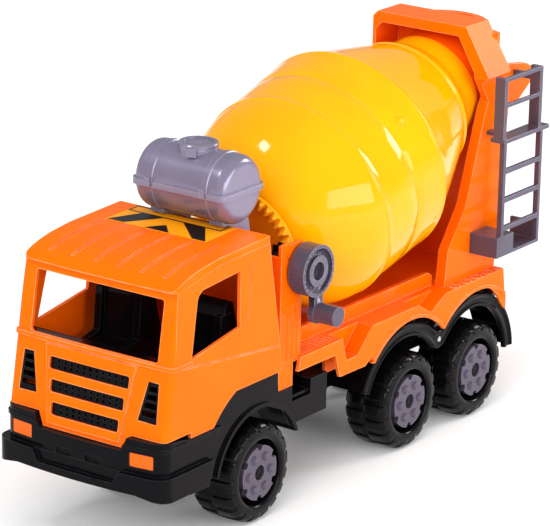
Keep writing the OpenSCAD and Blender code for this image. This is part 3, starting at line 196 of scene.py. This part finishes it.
BY_SLOT = {"orange": ORANGE, "red_orange": SHADED_ORANGE, "yellow": YELLOW, "grey": GREY, "black": BLACK,
           "tyre": TYRE, "steel": STEEL, "lamp": LAMP, "sticker": STICKER}


# ---------------------------------------------------------------- carried-over CAD nodes

def soften(obj, width, segments=2, angle=28):
    """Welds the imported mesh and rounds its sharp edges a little."""
    weld = obj.modifiers.new("weld", "WELD")
    weld.merge_threshold = 0.00001
    bevel = obj.modifiers.new("edges", "BEVEL")
    bevel.width = width
    bevel.segments = segments
    bevel.limit_method = "ANGLE"
    bevel.angle_limit = math.radians(angle)
    bevel.harden_normals = False
    bevel.use_clamp_overlap = True
    normals = obj.modifiers.new("normals", "WEIGHTED_NORMAL")
    normals.keep_sharp = True


# How far sharp edges are rounded, in metres: hub discs, orange body parts, everything else.
HUB_ROUND, BODY_ROUND, EDGE_ROUND = 0.0014, 0.0009, 0.0006
SLOTS = {entry["node"]: entry["material_slot"] for entry in frame["record"]["subparts"]}
for name, obj in NODES.items():
    rounding = BODY_ROUND if SLOTS[name] == "orange" else EDGE_ROUND
    if name.startswith("hub_"):
        rounding = HUB_ROUND
    obj.data.materials.clear()
    obj.data.materials.append(TANK_GREY if name.startswith("tank_") else BY_SLOT[SLOTS[name]])
    for poly in obj.data.polygons:
        poly.use_smooth = True
    soften(obj, rounding)


# ---------------------------------------------------------------- mesh helpers

def mesh_object(name, verts, faces, material, smooth=True, autosmooth=None):
    mesh = bpy.data.meshes.new(name)
    mesh.from_pydata([tuple(v) for v in verts], [], faces)
    work = bmesh.new()
    work.from_mesh(mesh)
    bmesh.ops.remove_doubles(work, verts=work.verts, dist=1e-7)
    bmesh.ops.recalc_face_normals(work, faces=work.faces)
    if autosmooth is not None:
        limit = math.radians(autosmooth)
        for edge in work.edges:
            edge.smooth = not (len(edge.link_faces) == 2 and edge.calc_face_angle(0) > limit)
    work.to_mesh(mesh)
    work.free()
    for poly in mesh.polygons:
        poly.use_smooth = smooth
    mesh.materials.append(material)
    obj = bpy.data.objects.new(name, mesh)
    bpy.context.scene.collection.objects.link(obj)
    return obj


def grid_faces(rows, cols, close_rows=False, close_cols=True):
    """Quads over rows x cols points numbered row by row."""
    faces = []
    for i in range(rows if close_rows else rows - 1):
        for j in range(cols if close_cols else cols - 1):
            a, b = i * cols + j, i * cols + (j + 1) % cols
            c, d = ((i + 1) % rows) * cols + (j + 1) % cols, ((i + 1) % rows) * cols + j
            faces.append((a, b, c, d))
    return faces


def rounded_path(points, radius, steps):
    """Rounds the inner corners of a polyline."""
    out = [Vector(points[0])]
    for i in range(1, len(points) - 1):
        a, b, c = (Vector(p) for p in points[i - 1:i + 2])
        da, dc = (a - b), (c - b)
        cut = min(radius, da.length * 0.45, dc.length * 0.45)
        if cut < 1e-5:
            out.append(b)
            continue
        pa, pc = b + da.normalized() * cut, b + dc.normalized() * cut
        for k in range(steps + 1):
            t = k / steps
            out.append(pa * (1 - t) ** 2 + b * 2 * t * (1 - t) + pc * t ** 2)
    out.append(Vector(points[-1]))
    return out


def smooth_step(x, low, high):
    t = min(1.0, max(0.0, (x - low) / (high - low)))
    return t * t * (3 - 2 * t)


# ---------------------------------------------------------------- tyres

AXLES = {"front": 0.1505, "mid": -0.0778, "rear": -0.1872}
START_TURN = {"front": 6, "mid": 2, "rear": 12}
# Mould sizes in mm: radius, width, where the inner face stands, the axle bore and the dish behind the hub.
TYRE_R, TYRE_W, TYRE_BACK = 44.6, 44.0, 34.5
BORE_R, DISH_Z = 3.1, 27.0
LUGS, LUG_HIGH = 18, 1.9
TREAD_LOW, TREAD_HIGH = 2.5, 41.5
TYRE_COLUMNS = LUGS * 22


def lug_height(turn, across):
    """Height of the tread blocks in mm: turn runs round the tyre, across from the inner shoulder out."""
    outer_row = across > 0.5
    u = (turn * LUGS + (0.5 if outer_row else 0.0)) % 1.0
    block = smooth_step(u, 0.0, 0.10) * (1 - smooth_step(u, 0.66, 0.76))
    lane = across if outer_row else 1 - across
    return LUG_HIGH * block * smooth_step(lane, 0.50, 0.56)


def tyre_skin():
    """Radius and height in mm along the tyre's section, from the rim over the tread to the inner face."""
    corners = [(24.6, DISH_Z), (26.2, 28.5), (29.0, 42.2), (30.6, 43.7), (34.0, 44.0), (37.6, 43.4),
               (40.6, 41.4), (42.4, 38.0), (42.8, 33.0), (42.8, 11.0), (42.4, 6.0), (40.6, 2.6), (37.6, 0.6),
               (33.0, 0.1), (30.0, 0.6), (25.0, 2.5), (BORE_R, 2.5)]
    coarse = rounded_path(corners, 3.0, 4)
    dense = []
    for a, b in zip(coarse, coarse[1:]):
        n = max(1, int((b - a).length / 1.3))
        dense += [a + (b - a) * k / n for k in range(n)]
    return dense + [coarse[-1]]


def tyre_point(radius, z, turn):
    """A point of the tyre in metres; lugs stand out sideways on the shoulders and outwards on the tread."""
    lug = 0.0
    if radius > 36.2:
        across = min(1.0, max(0.0, (z - TREAD_LOW) / (TREAD_HIGH - TREAD_LOW)))
        lug = lug_height(turn, across) * smooth_step(radius, 36.6, 39.6)
    flank = smooth_step(radius, 36.0, 42.6)
    r = radius + lug * (0.35 + 0.65 * flank)
    sideways = lug * (1 - flank) * (0.5 if z > TYRE_W / 2 else -0.5)
    a = 2 * math.pi * turn
    return (r * math.cos(a) * MM, r * math.sin(a) * MM, min(TYRE_W, max(0.0, z + sideways)) * MM)


def build_tyre_mesh():
    """One tyre about Z: the inner face at 0 and the outer face at TYRE_W, in metres."""
    skin = tyre_skin()
    dish = rounded_path([(24.6, DISH_Z), (12.0, DISH_Z), (BORE_R, DISH_Z)], 0.5, 2)
    cols = TYRE_COLUMNS
    verts = [tyre_point(*p, j / cols) for p in skin for j in range(cols)]
    faces = grid_faces(len(skin), cols)
    first = len(verts)
    verts += [tyre_point(*p, j / cols) for p in dish[1:] for j in range(cols)]
    # Rows of the dish from the rim inwards, then the bore through to the inner face.
    starts = [0] + [first + i * cols for i in range(len(dish) - 1)]
    for j in range(cols):
        k = (j + 1) % cols
        faces += [(a + j, b + j, b + k, a + k) for a, b in zip(starts, starts[1:])]
        inner = (len(skin) - 1) * cols
        faces.append((starts[-1] + j, inner + j, inner + k, starts[-1] + k))
    return verts, faces


def build_tyres():
    verts, faces = build_tyre_mesh()
    for where, x in AXLES.items():
        for side, sign in (("left", 1), ("right", -1)):
            turn = Matrix.Rotation(math.radians(-90 * sign), 4, "X")
            spin = Matrix.Rotation(math.radians(START_TURN[where]), 4, "Z")
            place = Matrix.Translation((x, sign * TYRE_BACK * MM, TYRE_R * MM)) @ turn @ spin
            obj = mesh_object(f"tyre_{where}_{side}_tread", [place @ Vector(v) for v in verts], faces, TYRE,
                              autosmooth=50)
            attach(obj, f"{where}_wheels")
            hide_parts(f"tyre_{where}_{side}")


# ---------------------------------------------------------------- drum

DRUM_X, DRUM_Z, DRUM_TILT = 19.2, 230.6, 15.76


def on_drum(radius, s, angle):
    """A point of the drum: s mm rearwards along its axis, at the given radius and angle, in metres."""
    tilt = math.radians(DRUM_TILT)
    along = Vector((-math.cos(tilt), 0, math.sin(tilt)))
    side = Vector((0, 1, 0))
    over = along.cross(side)
    p = Vector((DRUM_X, 0, DRUM_Z)) + along * s + (side * math.cos(angle) + over * math.sin(angle)) * radius
    return p * MM


def lathe_drum(name, profile, material, cols=192):
    verts = [on_drum(r, s, 2 * math.pi * j / cols) for r, s in profile for j in range(cols)]
    return mesh_object(name, verts, grid_faces(len(profile), cols, close_rows=True), material, autosmooth=55)


# Radii and stations along the axis, in mm: the flat front, the raised rings, the shells' joint, the mouth.
FRONT_S, NECK_R = -50.94, 53.0
RING_1_S, RING_1_R = 22.4, 98.7
RING_2_S, RING_2_R = 108.7, 100.8
RING_3_S, RING_3_R = 203.0, 63.4
JOINT_S, MOUTH_S = 66.0, 240.0
WALL = 2.6


def bowl_radius(s):
    """Outside radius of the front bowl."""
    t = min(1.0, max(0.0, (s - (FRONT_S + 0.04)) / (RING_1_S - (FRONT_S + 0.04))))
    return NECK_R + (RING_1_R - NECK_R) * math.sin(math.pi / 2 * t) ** 0.78


def band_radius(s):
    """Outside radius of the wide band between the first two rings."""
    return RING_1_R + (RING_2_R - RING_1_R) * (s - RING_1_S) / (RING_2_S - RING_1_S)


def cone_radius(s):
    """Outside radius of the cone behind the second ring."""
    return RING_2_R + (RING_3_R - RING_2_R) * (s - RING_2_S) / (RING_3_S - RING_2_S)


def ring_bead(radius, s):
    """A small raised bead round the drum, as offsets in radius and station."""
    shape = ((0, -2.2), (0.6, -1.4), (1.2, -0.5), (1.2, 0.5), (0.6, 1.4), (0.1, 2.2))
    return [(radius + up, s + along) for up, along in shape]


def place_drum_skin(name, profile, node):
    skin = lathe_drum(name, profile, YELLOW)
    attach(skin, "drum")
    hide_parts(node)


def build_drum_front():
    steps = [FRONT_S + (RING_1_S - FRONT_S) * (1 - math.cos(math.pi / 2 * i / 40)) for i in range(1, 40)]
    outside = [(48.0, FRONT_S), (52.0, FRONT_S)]
    outside += [(bowl_radius(s), s) for s in steps if bowl_radius(s) > NECK_R + 0.5]
    outside += ring_bead(RING_1_R, RING_1_S)
    outside += [(band_radius(s), s) for s in (30, 42, 54, JOINT_S - 0.8)]
    outside.append((band_radius(JOINT_S) - 0.5, JOINT_S))
    inside = [(band_radius(s) - WALL, s) for s in (JOINT_S, 40, RING_1_S)]
    inside += [(max(50.0, bowl_radius(s) - WALL), s + 2.2) for s in reversed(steps[::3]) if s < 12]
    inside += [(50.0, FRONT_S + 4), (5.1, FRONT_S + 4), (5.1, FRONT_S)]
    place_drum_skin("drum_front_skin", outside + inside, "drum_front_shell")


def build_drum_rear():
    joint_radius = band_radius(JOINT_S)
    skin = [(joint_radius - 2.5, JOINT_S + 0.1), (joint_radius - 0.4, JOINT_S + 0.1)]
    skin.append((joint_radius, JOINT_S + 0.8))
    skin += [(band_radius(s), s) for s in (78, 90, 100, 105.5)]
    skin += [(101.1, 107.2), (101.4, 108.2), (101.3, 109.2), (100.4, 110.6)]
    skin += [(cone_radius(s) + 0.1, s) for s in (114, 125, 140, 155, 170, 185, 193)]
    # The rolled third ring and the mouth behind it.
    skin += rounded_path([(66.2, 195.6), (66.6, 198.0), (65.2, 201.5), (62.6, 204.5), (59.0, 210.0),
                          (56.0, 216.0), (54.2, 224.0), (52.6, 234.0), (51.9, MOUTH_S)], 2.5, 4)
    # Back inside, from the mouth to the joint.
    skin += [(49.4, MOUTH_S), (49.8, 234), (52.6, 215.5), (59.6, 203.5), (63.6, 195.5), (98.2, 111.7),
             (97.8, RING_2_S)]
    place_drum_skin("drum_rear_skin", [tuple(p) for p in skin], "drum_rear_shell")


# ---------------------------------------------------------------- roof sticker

# The sticker's rear edge, the height of its face there in mm, and how far it falls towards the front.
STICKER_REAR, STICKER_TOP, STICKER_SLOPE = 146.5, 254.24, math.tan(math.radians(2.034))
PRINT_LIFT = (0.02, 0.14)


def film(name, outline):
    """A thin printed patch on the roof sticker; outline holds points of X and Y in mm."""
    rings = []
    for lift in PRINT_LIFT:
        rings.append([Vector((x, y, STICKER_TOP - (x - STICKER_REAR) * STICKER_SLOPE + lift)) * MM
                      for x, y in outline])
    n = len(outline)
    faces = [tuple(range(n)), tuple(range(n, 2 * n))]
    faces += [(i, (i + 1) % n, n + (i + 1) % n, n + i) for i in range(n)]
    obj = mesh_object(name, rings[0] + rings[1], faces, PRINT, smooth=False)
    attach(obj, "truck")


def build_sticker():
    """A bordered plain strip along the roof's rear edge, and chevrons in front of it."""
    film("sticker_strip_rear", [(147.2, -58.0), (147.2, 40.0), (148.8, 40.0), (148.8, -58.0)])
    film("sticker_strip_front", [(159.4, -58.0), (159.4, 40.0), (161.2, 40.0), (161.2, -58.0)])
    film("sticker_strip_right", [(148.8, -58.0), (148.8, -56.4), (159.4, -56.4), (159.4, -58.0)])
    film("sticker_strip_left", [(148.8, 38.4), (148.8, 40.0), (159.4, 40.0), (159.4, 38.4)])
    film("sticker_chevron_right", [(161.3, -43.0), (161.3, -20.0), (189.3, -41.0), (189.3, -58.0)])
    film("sticker_chevron_left", [(161.3, 1.0), (161.3, 24.0), (189.3, 45.0), (189.3, 31.0)])
    film("sticker_chevron_tip", [(174.5, -7.0), (189.3, 7.0), (189.3, -19.0)])


def button(centre, axis, profile, cols=32):
    """Vertices and faces of a small turned boss; profile holds radius and height pairs in mm."""
    side = axis.orthogonal().normalized()
    over = axis.cross(side)
    verts = [centre + axis * h * MM + (side * math.cos(2 * math.pi * j / cols)
                                       + over * math.sin(2 * math.pi * j / cols)) * r * MM
             for r, h in profile for j in range(cols)]
    faces = grid_faces(len(profile), cols)
    faces += [tuple(range(cols)), tuple(range((len(profile) - 1) * cols, len(profile) * cols))]
    return verts, faces


BOSS_S, BOSS_TURN = 83.6, math.radians(-38)
NUTS, NUT_CIRCLE_R = 6, 15.3


def build_drum_boss():
    """A small round boss moulded on the drum's wide band."""
    centre, out = (on_drum(r, BOSS_S, BOSS_TURN) for r in (99.9, 110.0))
    profile = [(4.6, -0.6), (4.6, 0.5), (4.2, 0.9), (3.3, 1.1), (2.9, 1.9), (2.0, 2.6), (1.0, 2.9),
               (0.1, 3.0)]
    shape = button(centre, (out - centre).normalized(), profile)
    boss = mesh_object("drum_boss", *shape, YELLOW, autosmooth=60)
    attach(boss, "drum")


HALF_BASE = (AXLES["mid"] - AXLES["rear"]) / 2 / MM
LIP_INNER, LIP_OUTER, LIP_NEAR, LIP_FAR = 76.6, 80.0, 73.2, 75.9
LIP_DROP, LIP_STEPS = 8.6, 40
# Per axle: the first and last angle, and the reach in X towards the front and the rear.
LIP_SPANS = {"mid": (44, 135.4, 60.0, HALF_BASE), "rear": (44.6, 137.0, HALF_BASE, 50.2)}


def lip_ring(where, sign, angle, ahead, behind):
    """Four corners of an arch lip's section at an angle in degrees; it widens towards the rear corner."""
    a = math.radians(angle)
    reach = ahead if math.cos(a) > 0 else behind
    inner = LIP_INNER - (LIP_DROP * smooth_step(angle, 104, 134) if where == "rear" else 0.0)
    outer = max(inner + 0.3, min(LIP_OUTER, reach / max(0.01, abs(math.cos(a)))))
    section = ((inner, LIP_NEAR), (inner, LIP_FAR), (outer, LIP_FAR), (outer, LIP_NEAR))
    return [Vector((AXLES[where] / MM + r * math.cos(a), sign * y, TYRE_R + r * math.sin(a))) * MM
            for r, y in section]


def build_arch_lips():
    """The inner lips of the deck's wheel arches."""
    for where, (first, last, ahead, behind) in LIP_SPANS.items():
        for side, sign in (("left", 1), ("right", -1)):
            verts = []
            for k in range(LIP_STEPS + 1):
                angle = first + (last - first) * k / LIP_STEPS
                verts += lip_ring(where, sign, angle, ahead, behind)
            faces = grid_faces(LIP_STEPS + 1, 4) + [(0, 1, 2, 3), tuple(4 * LIP_STEPS + i for i in range(4))]
            lip = mesh_object(f"deck_arch_lip_{where}_{side}", verts, faces, ORANGE, autosmooth=40)
            soften(lip, EDGE_ROUND)
            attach(lip, "truck")


FENDER_DIP_R = 14.0


def arc(x, z, r, first, last, steps):
    angles = [math.radians(first + (last - first) * k / steps) for k in range(steps + 1)]
    return [(x + r * math.cos(a), z + r * math.sin(a)) for a in angles]


def arches(radius):
    """Points of X and Z in mm over both rear wheels, with a rounded dip between them, as the fenders run."""
    rear, mid = AXLES["rear"] / MM, AXLES["mid"] / MM
    top = math.sqrt((radius + FENDER_DIP_R) ** 2 - HALF_BASE ** 2)
    lean = math.degrees(math.atan2(top, HALF_BASE))
    return (arc(rear, TYRE_R, radius, 175.5, lean + 1, 90)
            + arc(rear + HALF_BASE, TYRE_R + top, FENDER_DIP_R, 180 + lean, 360 - lean, 24)
            + arc(mid, TYRE_R, radius, 179 - lean, 20, 90))


def build_fender_rims():
    """Rolled rims with an inner and an outer bead on the faces of the rear fenders."""
    # (radius over the wheels, distance from the truck's middle)
    profile = [(58.8, 67.4), (58.8, 70.6), (59.6, 71.7), (60.8, 72.0), (62.0, 71.6), (62.8, 71.15),
               (66.6, 71.15), (67.4, 71.6), (68.4, 72.5), (69.8, 72.9), (71.1, 72.2), (71.6, 70.9),
               (71.3, 69.4), (70.4, 68.0), (69.8, 66.5), (69.0, 66.5)]
    for side, sign in (("left", 1), ("right", -1)):
        verts = [Vector((x, sign * y, z)) * MM for radius, y in profile for x, z in arches(radius)]
        cols = len(verts) // len(profile)
        faces = grid_faces(len(profile), cols, close_rows=True, close_cols=False)
        faces += [tuple(i * cols + end for i in range(len(profile))) for end in (0, cols - 1)]
        rim = mesh_object(f"rear_fender_rim_{side}", verts, faces, BLACK, autosmooth=60)
        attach(rim, "truck")
        middle = AXLES["rear"] / MM + HALF_BASE
        dip_z, dip_x = min((z, x) for x, z in arches(65.0) if abs(x - middle) < 3)
        head = [(2.6, -0.5), (2.6, 0.5), (2.2, 1.1), (1.2, 1.5), (0.1, 1.6)]
        place = Vector((dip_x, sign * 71.0, dip_z)) * MM
        shape = button(place, Vector((0, sign, 0)), head, 20)
        screw = mesh_object(f"rear_fender_screw_{side}", *shape, STEEL, autosmooth=50)
        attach(screw, "truck")


def build_bumper_web():
    """A dark web inside the bumper that closes the gaps round the nose."""
    outline = ((-60, 80.2), (60, 80.2), (60, 103), (-60, 103))
    verts = [Vector((x, y, z)) * MM for x in (283.0, 286.0) for y, z in outline]
    faces = [(0, 1, 2, 3), (4, 5, 6, 7)] + [(i, (i + 1) % 4, 4 + (i + 1) % 4, 4 + i) for i in range(4)]
    web = mesh_object("bumper_web", verts, faces, BLACK, smooth=False)
    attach(web, "truck")


def build_wheel_nuts():
    """A ring of rounded nuts on each hub disc."""
    profile = [(4.2, -0.4), (4.2, 0.3), (3.7, 0.9), (3.2, 1.9), (2.6, 2.4), (1.4, 2.7), (0.1, 2.7)]
    for where, x in AXLES.items():
        for side, sign in (("left", 1), ("right", -1)):
            verts, faces = [], []
            for k in range(NUTS):
                a = 2 * math.pi * k / NUTS
                centre = Vector((x + NUT_CIRCLE_R * MM * math.cos(a), sign * (TYRE_BACK + TYRE_W - 1) * MM,
                                 (TYRE_R + NUT_CIRCLE_R * math.sin(a)) * MM))
                v, f = button(centre, Vector((0, sign, 0)), profile, 20)
                faces += [tuple(i + len(verts) for i in face) for face in f]
                verts += v
            nuts = mesh_object(f"hub_nuts_{where}_{side}", verts, faces, GREY, autosmooth=60)
            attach(nuts, f"{where}_wheels")


build_tyres()
build_drum_front()
build_drum_rear()
build_drum_boss()
build_wheel_nuts()
build_arch_lips()
build_bumper_web()
build_fender_rims()
build_sticker()

# ---------------------------------------------------------------- floor, lights, camera

def add_lamp(name, data):
    lamp = bpy.data.objects.new(name, data)
    bpy.context.scene.collection.objects.link(lamp)
    return lamp


def softbox(name, place, target, size, power):
    """A rectangular light panel that faces its target; its shape shows in the gloss."""
    data = bpy.data.lights.new(name, "AREA")
    data.shape = "RECTANGLE"
    data.size, data.size_y = size
    data.energy = power
    lamp = add_lamp(name, data)
    lamp.location = place
    lamp.rotation_euler = (Vector(target) - Vector(place)).to_track_quat("-Z", "Y").to_euler()


def soft_sun(name, azimuth, elevation, strength, spread):
    """A broad distant light from the given direction, in degrees; it lights, but leaves no highlight."""
    data = bpy.data.lights.new(name, "SUN")
    data.energy = strength
    data.angle = math.radians(spread)
    lamp = add_lamp(name, data)
    a, e = math.radians(azimuth), math.radians(elevation)
    toward = Vector((math.cos(a) * math.cos(e), math.sin(a) * math.cos(e), math.sin(e)))
    lamp.rotation_euler = toward.to_track_quat("Z", "Y").to_euler()
    lamp.visible_glossy = False


FLOOR_HALF = 20.0


def floor_material():
    """A pale matt floor that glows a little, so that it stays near white."""
    mat = bpy.data.materials.new("floor")
    mat.use_nodes = True
    tree = mat.node_tree
    shader = tree.nodes["Principled BSDF"]
    coords = make_node(tree, "ShaderNodeTexCoord").outputs["Object"]
    tone = mix_color(tree, noise(tree, coords, 6.0), (0.90, 0.90, 0.90), (0.92, 0.92, 0.92))
    link(tree, tone, shader.inputs["Base Color"])
    shader.inputs["Roughness"].default_value = 0.6
    shader.inputs["Specular IOR Level"].default_value = 0.1
    shader.inputs["Emission Color"].default_value = (1.0, 1.0, 1.0, 1.0)
    shader.inputs["Emission Strength"].default_value = 0.06
    return mat


def build_floor():
    mesh = bpy.data.meshes.new("floor")
    corners = [(x * FLOOR_HALF, y * FLOOR_HALF, 0) for x, y in ((-1, -1), (1, -1), (1, 1), (-1, 1))]
    mesh.from_pydata(corners, [], [(0, 1, 2, 3)])
    mesh.materials.append(floor_material())
    floor = bpy.data.objects.new("floor", mesh)
    bpy.context.scene.collection.objects.link(floor)


def build_lights():
    world = bpy.data.worlds.new("studio")
    bpy.context.scene.world = world
    world.use_nodes = True
    sky = world.node_tree.nodes["Background"]
    sky.inputs["Color"].default_value = (1.0, 1.0, 1.0, 1.0)
    sky.inputs["Strength"].default_value = 0.40

    soft_sun("front_sun", 14, 30, 1.7, 40)
    soft_sun("top_sun", 50, 76, 1.2, 50)
    softbox("side_box", (0.10, 1.75, 0.50), (0, 0, 0.25), (1.9, 0.55), 19)
    softbox("rear_box", (-1.8, 0.95, 1.0), (0, 0, 0.25), (0.7, 0.6), 16)
    softbox("front_box", (1.5, -0.9, 2.3), (0.1, 0, 0.2), (0.5, 0.3), 13)


CAMERA_PLACE = (2.39813, 1.6908, 1.11403)
CAMERA_TURN = (35.484, 17.693, 1.2365)      # azimuth, elevation and roll in degrees
CAMERA_LENS = 228.77


def build_camera():
    """A long lens from the front left, a little above."""
    data = bpy.data.cameras.new("camera")
    data.sensor_fit = "HORIZONTAL"
    data.sensor_width = 36.0
    data.lens = CAMERA_LENS
    data.clip_start = 0.1
    data.clip_end = 100.0
    cam = bpy.data.objects.new("camera", data)
    bpy.context.scene.collection.objects.link(cam)
    azimuth, elevation, roll = (math.radians(a) for a in CAMERA_TURN)
    back = Vector((math.cos(azimuth) * math.cos(elevation), math.sin(azimuth) * math.cos(elevation),
                   math.sin(elevation)))
    right = Vector((-math.sin(azimuth), math.cos(azimuth), 0))
    up = back.cross(right)
    tilted_right = right * math.cos(roll) + up * math.sin(roll)
    tilted_up = up * math.cos(roll) - right * math.sin(roll)
    turn = Matrix((tilted_right, tilted_up, back)).transposed().to_4x4()
    cam.matrix_world = Matrix.Translation(CAMERA_PLACE) @ turn
    bpy.context.scene.camera = cam


build_floor()
build_lights()
build_camera()
bpy.context.scene.view_settings.view_transform = "Standard"
